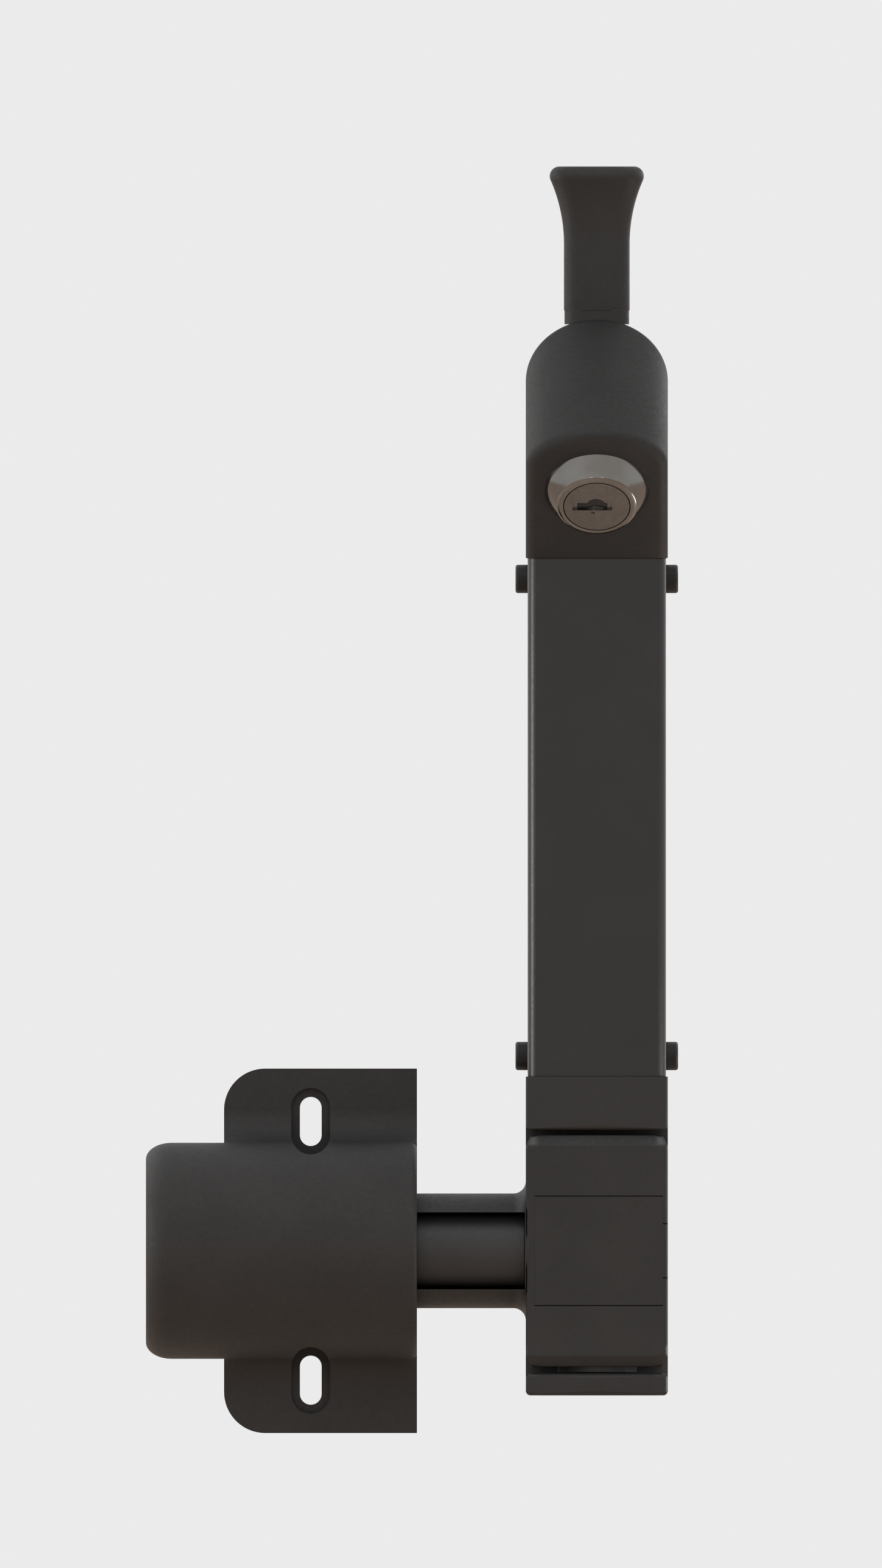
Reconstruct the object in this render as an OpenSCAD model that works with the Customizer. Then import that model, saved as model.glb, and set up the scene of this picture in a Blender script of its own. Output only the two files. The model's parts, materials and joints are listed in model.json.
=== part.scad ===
// Magnetic pool gate latch. A latch body on the post holds a pull knob, a key lock and a magnet.
// A bracket on the gate carries an adjustable arm, whose striker head sits in the latch's jaw.
// Axes: +X to the right, +Y into the post and the gate, +Z up, in millimetres.
// The origin is the centre of the four post screws, on the face of the post.

/* [Latch body] */
// Width of the cap, the jaw pieces and the striker head
block_w = 38; // [36:0.5:42]
// Step from the tube out to the cap and the jaw, at the sides and in front
lip = 0.5; // [0.3:0.1:0.8]
// Length of the tube between the keeper block and the cap
tube_len = 138.6; // [130:0.2:180]
// Depth of the tube, from its open back to its front face
tube_d = 36; // [35:0.5:40]
// Wall and web of the tube
tube_wall = 2.2; // [1.8:0.1:2.6]
// Radius of the tube's front corners
tube_r = 3.8; // [2.6:0.1:4.5]
// Depth of the front chamber that holds the pull rod and the magnet
chamber_d = 19.8; // [19.4:0.1:20.6]
// Rise of the slightly domed front faces
front_crown = 0.4; // [0.2:0.1:0.6]
// Gap between the back of the latch body and the post
post_gap = 0.5; // [0.2:0.1:1.5]

/* [Cap] */
// Height of the cap above the tube, at its crest
cap_h = 63.9; // [60:0.1:70]
// Height of the arched crown above the straight sides
crown_h = 16.5; // [14:0.1:18]
// Slope of the beak's top below level, going forwards
beak_slope = 39.6; // [34:0.2:42]
// Slope of the lock face above level, going forwards
face_slope = 45; // [43:0.5:47]
// Distance in front of the pull rod's axis where the crest starts to slope
crest_front = 8.2; // [7:0.1:10]
// Wall of the cap
cap_wall = 2.6; // [2.2:0.1:3]
// Floor of the cap over the tube's end
cap_floor = 3; // [2:0.5:4]
// Depth of the spigots that the cap and the keeper block push into the tube
spigot_h = 14; // [12:0.5:18]

/* [Key lock] */
// Distance up the lock face from its lower edge to the lock's axis
lock_up = 25.3; // [24.5:0.1:26.5]
// Radius of the chrome bezel at the lock face
bezel_r = 14; // [13:0.1:14.8]
// Height of the bezel's dome
dome_h = 5.76; // [5:0.1:6.5]
// Rounding between the side of the dome and its top
bezel_ease = 1.2; // [0.8:0.1:1.6]
// Radius of the arc that the side of the dome follows
side_r = 25.4; // [20:0.2:30]
// Steepness of the dome's side at the lock face
side_angle = 66; // [62:0.5:70]
// Radius of the plug's round face
plug_face_r = 8.9; // [8.4:0.1:9.4]
// Radius of the threaded barrel behind the bezel
barrel_r = 11; // [10.5:0.1:11.4]
// Length of the barrel behind the lock face
barrel_len = 20; // [18:0.5:20.5]
// Radius of the plug's core
core_r = 6.5; // [6:0.1:7]
// Width of the key slot's deep part, which takes the key's blade
key_w = 8; // [7:0.5:9]
// Height of the key slot
key_h = 2.8; // [2.2:0.1:3.2]
// How far the key slot's middle stands to the left of the plug's
key_off = 1.2; // [0:0.1:1.4]
// How far the slot's arch stands to the left of the plug's middle
arch_off = 0.2; // [0:0.1:1]
// Thickness of the locking cam
cam_t = 2.5; // [2:0.1:3]
// Width of the locking cam
cam_w = 8; // [7:0.5:9]

/* [Pull knob and rod] */
// Width of the knob's shank
knob_w = 17.6; // [16:0.2:18]
// Depth of the knob's shank
knob_d = 16; // [14.5:0.5:17.5]
// Width of the knob at its flared rim
rim_w = 25.2; // [23:0.2:28]
// Height of the knob
knob_h = 38.5; // [34:0.5:50]
// Height of the straight part of the shank
shank_h = 17.8; // [14:0.2:19]
// Corner radius of the shank
shank_r = 4; // [2.5:0.5:5]
// Radius that rounds the flared rim
rim_r = 2.6; // [1.5:0.1:3]
// Height of the neck bush that stands above the crest
neck_h = 2.4; // [2:0.1:5]
// Radius of the pull rod
rod_r = 4; // [3.5:0.1:4.2]
// How far the knob lifts the magnet
lift = 14; // [10:0.5:14]
// Radius of the two collars on the pull rod
collar_r = 7.5; // [7:0.1:7.8]
// Radius of the magnet
magnet_r = 7; // [6:0.1:7.2]
// Length of the magnet
magnet_len = 15; // [12:0.5:18]
// Radius of the carrier that holds the magnet
carrier_r = 9; // [8.8:0.1:9.2]
// Diameter of the return spring's wire
return_wire = 1.2; // [0.9:0.1:1.4]
// Length of the return spring with the knob down
return_len = 42; // [36:0.5:48]

/* [Jaw] */
// Height of the keeper block above the striker
keeper_h = 14.3; // [14:0.1:16]
// Height of the foot below the striker
foot_h = 5.9; // [5.6:0.1:9]
// Depth of the spine that joins the keeper block to the foot
spine_d = 9.5; // [7:0.5:10.5]
// Radius of the hole that takes the latch bolt
keeper_r = 8; // [7.2:0.1:8.4]
// Outer radius of the steel keeper bush
bush_r = 10; // [9.6:0.1:10.4]
// Height of the keeper bush
bush_h = 6.4; // [5.5:0.1:6.6]
// Rounding of the jaw's edges
edge_r = 1.3; // [0.8:0.1:1.6]

/* [Striker] */
// Height of the striker head
head_h = 61.8; // [58:0.2:70]
// Gap between the keeper block and the striker head
gap_top = 1.4; // [1:0.1:2.5]
// Gap between the striker head and the foot
gap_bottom = 1.9; // [1.8:0.1:3]
// Gap between the back of the striker head and the spine
gap_back = 0.6; // [0.4:0.1:1.5]
// Height of the head's end chamfers
chamfer_h = 2.8; // [1.5:0.1:4]
// Depth of the head's end chamfers
chamfer_d = 1.5; // [0.8:0.1:2]
// Radius of the latch bolt
bolt_r = 6; // [5:0.1:6.2]
// How far the latch bolt rises into the keeper
bolt_rise = 8; // [6:0.1:8]
// Radius of the bore that holds the latch bolt and its spring
bolt_bore_r = 9; // [8.8:0.1:9.2]
// Radius of the bore plug's flange under the head
plug_flange_r = 10.7; // [10:0.1:12]
// Diameter of the bolt spring's wire
bolt_wire = 0.9; // [0.7:0.1:1]
// Height of the front cover between its seams
cover_h = 29.5; // [26:0.5:32]
// Height of the cover's side tongue
tongue_h = 14.7; // [10:0.5:20]
// Thickness of the front cover
cover_t = 2.4; // [2:0.1:2.8]
// Width of the seam round the front cover
seam = 0.25; // [0.15:0.05:0.4]
// Radius of the arm
arm_r = 15.35; // [14.8:0.05:15.6]
// Height of the slot along the arm's front
slot_h = 20.6; // [20:0.1:21.5]
// Radius of the round core inside the arm
arm_core_r = 9.5; // [9.2:0.1:9.7]
// Radius of the fillet between the arm and the head
arm_fillet = 3.3; // [2:0.1:4]

/* [Gate bracket] */
// Gap between the striker head and the bracket
reach = 29.1; // [22:0.1:36]
// Radius of the bracket's half-round housing
housing_r = 28.9; // [28:0.1:31]
// Distance of the housing's axis in front of the gate
housing_y = 11; // [10:0.5:12]
// Length of the housing
housing_len = 72.5; // [72:0.5:90]
// Length of the screw flanges
flange_len = 51.6; // [48:0.2:60]
// Height across both flanges
flange_span = 97.5; // [96:0.5:110]
// Thickness of the flanges
flange_t = 5; // [4:0.2:6]
// Corner radius of the flanges
flange_r = 11; // [4:0.5:12]
// Radius of the fillet between a flange and the housing
root_fillet = 8.7; // [6:0.1:9]
// Wall of the housing
housing_wall = 4; // [3.6:0.1:4.2]
// Distance between the two slots
slot_spacing = 69.2; // [67:0.2:72]
// Distance of the slots from the bracket's right end
slot_x = 28.4; // [24:0.2:32]
// Width of a slot, which takes a number 12 screw
slot_w = 5.8; // [5:0.1:6.2]
// Length of a slot
slot_len = 13.1; // [10:0.1:14]
// Width of the rim that is sunk round a slot
sink_rim = 2.3; // [2:0.1:2.5]
// Depth of the sunk rim below the flange's face
sink_depth = 1.5; // [1:0.1:2]
// How far the arm can be pushed in from where it stands
arm_in = 19; // [12:0.5:19]
// How far the arm can be drawn out from where it stands
arm_out = 9; // [6:0.5:9]

/* [Fasteners] */
// Radius of the side screws' shanks, and of the other screws of that size
screw_r = 2; // [1.6:0.1:2.1]
// Radius of the spine screws' shanks, which is a quarter of the width of their heads
spine_screw_r = 1.25; // [1.1:0.05:1.3]
// Radius of the side screws' pan heads
pan_r = 3.8; // [3.4:0.1:4]
// Height of the pan heads
pan_h = 3.25; // [2.6:0.05:3.4]
// Distance of the side screws from the tube's ends
side_screw_z = 5.5; // [5:0.1:6]
// Height of a mounting bracket
bracket_h = 26; // [25:0.5:32]
// Radius of the post screw holes
post_hole_r = 2.75; // [2.4:0.05:3]
// Distance between the two post screws of a bracket
post_hole_x = 20; // [18:0.5:21]
// Distance of the post screws from the tube's ends
post_hole_in = 18.3; // [17.3:0.1:19.3]

/* [Hidden] */
$fn = 64;
// Clearance of pieces that are fitted and stay put, on the radius or on each side
fit = 0.05;
// Clearance of pieces that slide or turn, on the radius
run = 0.08;
// Gap that separates pieces which meet only at the end of a travel
rest = 0.15;
// Gap under the knob where it rests on the neck
touch = 0.03;
big = 400;
// Colours of the finishes
coat = [0.16, 0.155, 0.15];
steel = [0.62, 0.62, 0.63];
dark_steel = [0.3, 0.3, 0.31];
chrome = [0.8, 0.8, 0.82];
brass = [0.72, 0.6, 0.32];
plastic = [0.1, 0.1, 0.11];

// Where the side's arc of the bezel is centred, and where it meets the rounding of the top
side_centre = [bezel_r - side_r * sin(side_angle), -side_r * cos(side_angle)];
round_lift = dome_h - bezel_ease - side_centre[1];
round_x = side_centre[0] + sqrt(pow(side_r - bezel_ease, 2) - pow(round_lift, 2));
round_from = side_centre[1] + round_lift * side_r / (side_r - bezel_ease);

// Heights of the latch body, from the middle of the tube
tube_top = tube_len / 2;
tube_bottom = -tube_len / 2;
cap_top = tube_top + cap_h;
keeper_bottom = tube_bottom - keeper_h;
head_top = keeper_bottom - gap_top;
head_bottom = head_top - head_h;
foot_top = head_bottom - gap_bottom;
foot_bottom = foot_top - foot_h;
head_z = (head_top + head_bottom) / 2;

// Widths and depths of the latch body
tube_w = block_w - 2 * lip;
chamber_w = tube_w - 2 * tube_wall;
body_back = -post_gap;
tube_front = body_back - tube_d;
block_front = tube_front - lip;
chamber_front = tube_front + tube_wall;
chamber_back = chamber_front + chamber_d;
channel_front = chamber_back + tube_wall;
rod_y = (chamber_front + chamber_back) / 2;
spine_front = body_back - spine_d;
head_back = spine_front - gap_back;
crest_y = rod_y - crest_front;

// The lock face and the lock's axis, which meets it at right angles
lock_centre_y = block_front - lock_up * cos(face_slope);
lock_centre_z = tube_top + lock_up * sin(face_slope);
cam_z = -barrel_len - 0.5;
cam_inner_z = cam_z - cam_t;
cam_clear = 0.4;
cam_len = lock_up + (rod_y - rod_r - cam_clear - block_front + cam_inner_z * sin(face_slope)) / cos(face_slope);
cam_tip_z = tube_top + (lock_up - cam_len) * sin(face_slope) - cam_z * cos(face_slope);
cam_tail = 7;

// The pull rod and what it carries, with the knob down
knob_bottom = cap_top + neck_h + touch;
neck_sink = 1.3;
neck_boss_h = 12;
neck_spigot_r = 6.5;
knob_bore_h = 20;
lock_collar_h = 8;
lock_collar_top = cam_tip_z - cam_clear;
keeper_floor = 1.2;
bush_bottom = keeper_bottom + 0.1;
floor_bottom = bush_bottom + bush_h + 0.1;
floor_top = floor_bottom + keeper_floor;
carrier_bottom = floor_top + 0.3;
magnet_cover_h = 1;
carrier_top_h = 8;
carrier_h = magnet_cover_h + magnet_len + carrier_top_h;
rod_thread_h = 6;
rod_bottom = carrier_bottom + carrier_h - rod_thread_h;
rod_top = knob_bottom + knob_bore_h - 0.5;
washer_h = 1;
return_r = rod_r + 2;
return_top = tube_top - spigot_h - washer_h - rest;
return_bottom = return_top - return_len;
spring_collar_h = 6;
spring_collar_top = return_bottom - rest;
pin_r = 1.25;
rod_hole_r = rod_r + 1;

// The striker's bolt, with its spring, and the arm
bush_lip = 2.2;
guide_h = 12;
guide_top = head_top - bush_lip;
guide_bottom = guide_top - guide_h;
plug_in_h = 8;
plug_flange_h = 1.5;
bolt_collar_h = 4;
bolt_bottom = head_bottom + plug_in_h + rest;
bolt_collar_top = bolt_bottom + bolt_collar_h;
bolt_top = head_top - 0.4;
bolt_spring_r = (bolt_r + bolt_bore_r) / 2;
bolt_spring_top = guide_bottom - rest;
bolt_spring_bottom = bolt_collar_top + rest;
head_left = -block_w / 2;
arm_y = block_front + arm_r;
arm_core_y = arm_y - 4;
bracket_right = head_left - reach;
arm_hold = 49.4;
arm_end = bracket_right - arm_hold;
arm_ring = 5;
slot_end = head_left - 0.2;
core_socket = 8;
core_spigot_r = arm_core_r - 1.5;
core_pin_r = 1.5;
core_pin_in = 0.3;
core_pin_len = head_back - core_pin_in - arm_core_y - core_spigot_r + 2.5;
cover_left = 2.3;
cover_right = 1.3;
tongue_len = 17;
cover_screw_r = 1.4;
cover_screw_len = head_back - block_front - 1;
cover_screw_x = 13.5;
cover_screw_up = 12;
cover_sink = 2.2;

// The gate bracket
housing_left = bracket_right - housing_len;
flange_left = bracket_right - flange_len;
cavity_r = housing_r - housing_wall;
end_web = 10;
guide_t = 8;
guide_x = arm_end + arm_out + guide_t / 2 + 0.5;
end_round_x = 6.8;
end_round_z = 4.4;
end_ease = 1.2;
fillet_y = -flange_t - root_fillet;
fillet_z = sqrt(pow(housing_r + root_fillet, 2) - pow(fillet_y + housing_y, 2));
clamp_r = 2.5;
clamp_in = 1.5;
clamp_len = -head_back - run - clamp_in;

// The mounting brackets
pan_small_h = 2.4;
bracket_d = post_gap + (body_back - channel_front) - pan_small_h - 0.9;
side_screw_up = tube_top - side_screw_z;
side_screw_y = -bracket_d / 2 - 0.5;
bracket_top = tube_top - 1.3;
web_screw_z = tube_top - spigot_h / 2;
web_screw_x = chamber_w / 2 - pan_r;
screw_bite = 7;
web_screw_len = tube_wall + screw_bite;
side_screw_len = tube_wall + screw_bite - 1;
spine_screw_len = spine_d + screw_bite;

// A flat rectangle with round corners
module round_rect(x0, x1, y0, y1, r) {
  translate([x0 + r, y0]) square([x1 - x0 - 2 * r, y1 - y0]);
  translate([x0, y0 + r]) square([x1 - x0, y1 - y0 - 2 * r]);
  for (x = [x0 + r, x1 - r], y = [y0 + r, y1 - r]) translate([x, y]) circle(r = r);
}

// Radius of a domed front of width w
function front_r(w) = (w * w / 4 + front_crown * front_crown) / (2 * front_crown);

// A flat outline that is square at the back, round at the front corners and slightly domed in front
module front_outline(w, back, front, r) {
  intersection() {
    round_rect(-w / 2, w / 2, front, back + 2 * r, r);
    translate([-w, front - 1]) square([2 * w, back - front + 1]);
    translate([0, front + front_r(w)]) circle(r = front_r(w), $fn = 1440);
  }
}

// Turns a flat outline in X and Z into a block along Y, from y0 back to y1
module along_y(y0, y1) {
  translate([0, y1, 0]) rotate([90, 0, 0]) linear_extrude(y1 - y0) children();
}

// Turns a flat outline in Y and Z into a block along X, from x0 to x1
module along_x(x0, x1) {
  translate([x0, 0, 0]) rotate([90, 0, 90]) linear_extrude(x1 - x0) children();
}

// A block of the jaw, with its outer edges rounded
module jaw_block(back, z0, z1, round_top) {
  reach_up = round_top ? 0 : 2 * edge_r;
  intersection() {
    translate([0, 0, z0]) linear_extrude(z1 - z0) front_outline(block_w, back, block_front, edge_r);
    along_y(block_front - 1, back) round_rect(-block_w / 2, block_w / 2, z0, z1 + reach_up, edge_r);
    along_x(-block_w, block_w)
      round_rect(block_front, back + 2 * edge_r, z0, z1 + reach_up, edge_r);
  }
}

// A pan head screw that points along -Z, with a cross recess in its head
module pan_screw(r, len, head_r, head_h) {
  ease = head_r * 0.18;
  recess = head_r * 0.32;
  difference() {
    union() {
      translate([0, 0, -len]) cylinder(r = r, h = len + 0.5);
      rotate_extrude() {
        square([head_r, head_h - ease]);
        square([head_r - ease, head_h]);
        translate([head_r - ease, head_h - ease]) circle(r = ease);
      }
    }
    translate([0, 0, head_h - 1.2]) for (a = [0, 90]) rotate([0, 0, a])
      translate([-head_r * 0.6, -recess / 2, 0]) cube([head_r * 1.2, recess, 2]);
  }
}

// A socket set screw that points along -Z, with its socket at z = 0
module set_screw(r, len) {
  difference() {
    translate([0, 0, -len]) cylinder(r = r, h = len);
    translate([0, 0, -r]) cylinder(r = r * 0.58, h = r + 1, $fn = 6);
  }
}

// A slot outline with round ends, standing along the second axis
module slot_outline(w, len) {
  translate([-w / 2, -(len - w) / 2]) square([w, len - w]);
  for (s = [-1, 1]) translate([0, s * (len - w) / 2]) circle(d = w);
}

// Points along a coil: straight ends one wire thick, with the turns between them
function coil_path(r, wire, z0, z1, turns) = let(
    steps = turns * 8,
    low = z0 + wire,
    high = z1 - wire
  ) concat(
    [[r, 0, z0, 0]],
    [for (i = [0:steps]) let(a = 360 * i / 8) [r * cos(a), r * sin(a), low + (high - low) * i / steps, a]],
    [[r, 0, z1, 360 * turns]]
  );
function part_xyz(p) = [p[0], p[1], p[2]];
function unit(v) = v / norm(v);
function ring_points(p, along, wire) = let(
    out = [cos(p[3]), sin(p[3]), 0],
    side = unit(cross(along, out))
  ) [for (k = [0:5]) part_xyz(p) + wire / 2 * (cos(60 * k) * out + sin(60 * k) * side)];
function least_gap(path, wire) = min([
    for (i = [1:len(path) - 2], j = [i + 5:1:len(path) - 2]) norm(part_xyz(path[i]) - part_xyz(path[j]))
  ]) - wire;

// A coil spring as one unbroken six-sided tube
module coil(r, wire, z0, z1, turns, label) {
  path = coil_path(r, wire, z0, z1, turns);
  last = len(path) - 1;
  points = [for (i = [0:last])
    each ring_points(path[i],
      unit(part_xyz(path[min(i + 1, last)]) - part_xyz(path[max(i - 1, 0)])), wire)];
  sides = [for (i = [0:last - 1], k = [0:5]) let(
      a = i * 6 + k, b = i * 6 + (k + 1) % 6) each [[a, b, b + 6], [a, b + 6, a + 6]]];
  ends = [for (k = [1:4]) each [[0, k + 1, k], [last * 6, last * 6 + k, last * 6 + k + 1]]];
  echo(str(label, " least gap to itself ", least_gap(path, wire)));
  polyhedron(points, concat(sides, ends));
}

// The arched top of the cap as a flat outline, with its crest at zero, wider than the cap by a trace
module arch(half_w, rise) {
  wide = half_w + 0.05;
  polygon(concat(
    [for (a = [0:5:180]) [wide * cos(a), rise * sin(a) - rise]],
    [[-block_w, -rise], [-block_w, -cap_h * 2], [block_w, -cap_h * 2], [block_w, -rise]]
  ));
}

// Stands in the lock's own frame: Z out of the lock face, Y up the face, at the lock's axis
module at_lock() {
  translate([0, lock_centre_y, lock_centre_z]) rotate([180 - face_slope, 0, 0]) children();
}

// The solid form of the cap, drawn in on every side by the inset
module cap_form(inset) {
  half_w = block_w / 2 - inset;
  floor_z = tube_top + (inset > 0 ? cap_floor : 0);
  intersection() {
    translate([-half_w, -big / 2, floor_z]) cube([2 * half_w, big / 2 + body_back - inset, big]);
    translate([0, crest_y, cap_top]) rotate([90 + beak_slope, 0, 0])
      translate([0, -inset * cos(beak_slope), -big / 2]) linear_extrude(big)
      arch(half_w, (crown_h - inset) * cos(beak_slope));
    translate([0, 0, cap_top - inset]) along_y(-big / 2, big / 4) arch(half_w, crown_h - inset);
    at_lock() translate([-big / 2, -big / 2, -big - inset]) cube([big, big, big]);
  }
}

// The plug of material that fills the tube's front chamber
module chamber_spigot(z0, z1) {
  translate([0, 0, z0]) linear_extrude(z1 - z0)
    round_rect(-chamber_w / 2 + fit, chamber_w / 2 - fit, chamber_front + fit, chamber_back - fit, 1.4);
}

// The four screws' places on the tube's web, two at each end
module at_web_screws(ends) {
  for (x = [-web_screw_x, web_screw_x], s = ends)
    translate([x, channel_front, s * web_screw_z]) rotate([-90, 0, 0]) children();
}

// The side screws' places, with Z out of the tube's side
module at_side_screws(ends) {
  for (s = ends, side = [-1, 1])
    translate([side * tube_w / 2, side_screw_y, s * side_screw_up]) rotate([0, side * 90, 0]) children();
}

// A bracket that is screwed to the post and fills the tube's rear channel; s is 1 for the upper one
module post_bracket(s) {
  z0 = s > 0 ? bracket_top - bracket_h : -bracket_top;
  color(dark_steel) difference() {
    translate([-chamber_w / 2 + 0.15, -bracket_d, z0]) cube([chamber_w - 0.3, bracket_d, bracket_h]);
    for (x = [-post_hole_x / 2, post_hole_x / 2]) translate([x, 0, s * (tube_top - post_hole_in)]) rotate([90, 0, 0]) {
      translate([0, 0, -1]) cylinder(r = post_hole_r, h = bracket_d + 2);
      translate([0, 0, bracket_d - 2.5]) cylinder(r1 = post_hole_r, r2 = post_hole_r * 2, h = 2.51);
    }
    at_side_screws([s]) translate([0, 0, -side_screw_len - 1]) cylinder(r = screw_r + fit, h = 2 * side_screw_len);
  }
}

module upper_bracket() { post_bracket(1); }

module lower_bracket() { post_bracket(-1); }

// The extruded tube: a closed front chamber and an open channel behind it
module body_tube() {
  color(coat) difference() {
    translate([0, 0, tube_bottom]) linear_extrude(tube_len) difference() {
      front_outline(tube_w, body_back, tube_front, tube_r);
      round_rect(-chamber_w / 2, chamber_w / 2, chamber_front, chamber_back, tube_r - tube_wall);
      translate([-chamber_w / 2, channel_front]) square([chamber_w, tube_d]);
    }
    at_side_screws([-1, 1]) translate([0, 0, -tube_wall - 1]) cylinder(r = screw_r + 0.1, h = 2 * tube_wall + 2);
    at_web_screws([-1, 1]) translate([0, 0, -tube_wall - 1]) cylinder(r = screw_r + 0.1, h = 2 * tube_wall + 2);
  }
}

module top_cap() {
  color(coat) difference() {
    union() {
      difference() {
        cap_form(0);
        cap_form(cap_wall);
      }
      intersection() {
        cap_form(0);
        translate([0, rod_y, cap_top - neck_boss_h]) cylinder(r = neck_spigot_r + 5, h = neck_boss_h);
      }
      chamber_spigot(tube_top - spigot_h, tube_top + 1);
    }
    translate([0, rod_y, tube_top - spigot_h - 1]) cylinder(r = rod_hole_r, h = spigot_h + cap_floor + 2);
    translate([0, rod_y, cap_top - neck_boss_h - 1]) cylinder(r = neck_spigot_r + fit, h = big / 4);
    translate([0, 0, cap_top - neck_sink]) linear_extrude(neck_sink * 3) neck_outline(fit);
    at_lock() translate([0, 0, -cap_wall - 1]) linear_extrude(cap_wall + 2) barrel_outline(fit);
    at_web_screws([1]) translate([0, 0, -web_screw_len - 1]) cylinder(r = screw_r + fit, h = big / 4);
  }
}

// The neck's rounded outline, which the cap's pocket follows
module neck_outline(extra) {
  round_rect(-knob_w / 2 + 0.15 - extra, knob_w / 2 - 0.15 + extra,
    rod_y - knob_d / 2 + 0.15 - extra, rod_y + knob_d / 2 - 0.15 + extra, shank_r);
}

// The bush that carries the pull rod at the cap's crest
module neck_bush() {
  color(coat) difference() {
    union() {
      translate([0, 0, cap_top - neck_sink]) linear_extrude(neck_sink + neck_h) neck_outline(0);
      translate([0, rod_y, cap_top - neck_boss_h]) cylinder(r = neck_spigot_r, h = neck_boss_h);
    }
    translate([0, rod_y, cap_top - neck_boss_h - 1]) cylinder(r = rod_r + run, h = neck_boss_h + neck_h + 2);
  }
}

// The barrel's outline, round with two flats that keep it from turning
module barrel_outline(extra) {
  intersection() {
    circle(r = barrel_r + extra);
    square([2 * (barrel_r - 1 + extra), 4 * barrel_r], center = true);
  }
}

module lock_cylinder() {
  color(chrome) at_lock() difference() {
    union() {
      rotate_extrude() {
        intersection() {
          translate(side_centre) circle(r = side_r);
          square([bezel_r, round_from]);
        }
        translate([round_x, dome_h - bezel_ease]) circle(r = bezel_ease);
        square([round_x, dome_h]);
      }
      translate([0, 0, -barrel_len]) linear_extrude(barrel_len + 0.5) barrel_outline(0);
    }
    translate([0, 0, -barrel_len - 1]) cylinder(r = core_r + run, h = barrel_len + dome_h);
    translate([0, 0, dome_h - 3.2]) cylinder(r = plug_face_r + rest, h = dome_h);
  }
}

module lock_nut() {
  color(steel) at_lock() difference() {
    translate([0, 0, -cap_wall - 4.1]) cylinder(r = barrel_r + 4, h = 4, $fn = 6);
    translate([0, 0, -cap_wall - 5]) cylinder(r = barrel_r + fit, h = 6);
  }
}

// The block under the tube, with a spigot up into it and the magnet's bore
module keeper_block() {
  bore_top = tube_bottom + spigot_h;
  color(coat) difference() {
    union() {
      jaw_block(spine_front, keeper_bottom, tube_bottom, false);
      chamber_spigot(tube_bottom - 1, bore_top);
    }
    translate([0, rod_y, floor_top]) cylinder(r = carrier_r + run, h = bore_top - floor_top + 1);
    translate([0, rod_y, keeper_bottom - 1]) cylinder(r = bush_r + fit, h = floor_bottom - keeper_bottom + 1);
    at_web_screws([-1]) translate([0, 0, -web_screw_len - 1]) cylinder(r = screw_r + fit, h = big / 4);
    at_spine_screws([1]) translate([0, 0, -spine_screw_len - 1]) cylinder(r = spine_screw_r + fit, h = spine_screw_len);
  }
}

module keeper_bush() {
  color(steel) translate([0, rod_y, bush_bottom]) difference() {
    cylinder(r = bush_r, h = bush_h);
    translate([0, 0, -1]) cylinder(r = keeper_r, h = bush_h + 2);
    translate([0, 0, -0.01]) cylinder(r1 = keeper_r + 0.8, r2 = keeper_r, h = 0.8);
  }
}

// The spine screws' places on the spine's back, with Z out of it; the ends are 1 above and -1 below
module at_spine_screws(ends) {
  for (s = ends, x = [-block_w / 2 + 5, block_w / 2 - 5])
    translate([x, body_back, s > 0 ? tube_bottom - keeper_h / 2 : foot_bottom + foot_h / 2])
    rotate([-90, 0, 0]) children();
}

// The plate behind the striker, which joins the keeper block to the foot
module back_spine() {
  color(coat) difference() {
    along_y(spine_front, body_back)
      round_rect(-block_w / 2, block_w / 2, foot_bottom, tube_bottom, edge_r);
    at_spine_screws([-1, 1]) {
      translate([0, 0, -spine_d - 1]) cylinder(r = spine_screw_r + fit, h = spine_d + 2);
      translate([0, 0, -spine_screw_r - fit])
        cylinder(r1 = spine_screw_r + fit, r2 = 2 * (spine_screw_r + fit), h = spine_screw_r + fit);
    }
  }
}

module foot_plate() {
  color(coat) difference() {
    jaw_block(spine_front, foot_bottom, foot_top, true);
    at_spine_screws([-1]) translate([0, 0, -spine_screw_len - 1]) cylinder(r = spine_screw_r + fit, h = spine_screw_len);
  }
}

// The four screws through the tube's sides into the mounting brackets
module side_screws() {
  color(plastic) at_side_screws([-1, 1]) pan_screw(screw_r, side_screw_len, pan_r, pan_h);
}

// The four screws through the tube's web into the spigots
module web_screws() {
  color(steel) at_web_screws([-1, 1]) pan_screw(screw_r, web_screw_len, pan_r - 0.4, pan_small_h);
}

// The four countersunk screws through the spine
module spine_screws() {
  color(steel) at_spine_screws([-1, 1]) difference() {
    union() {
      translate([0, 0, -spine_screw_len]) cylinder(r = spine_screw_r, h = spine_screw_len);
      translate([0, 0, -spine_screw_r - 0.1])
        cylinder(r1 = spine_screw_r, r2 = 2 * spine_screw_r, h = spine_screw_r);
    }
    translate([0, 0, -spine_screw_r * 0.7]) cylinder(r = spine_screw_r * 0.9, h = 2, $fn = 6);
  }
}

// The washer that the return spring pushes on, under the cap's spigot
module spring_washer() {
  color(steel) translate([0, rod_y, tube_top - spigot_h - washer_h]) difference() {
    cylinder(r = collar_r + 0.5, h = washer_h - fit);
    translate([0, 0, -1]) cylinder(r = rod_r + 0.3, h = washer_h + 2);
  }
}

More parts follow.
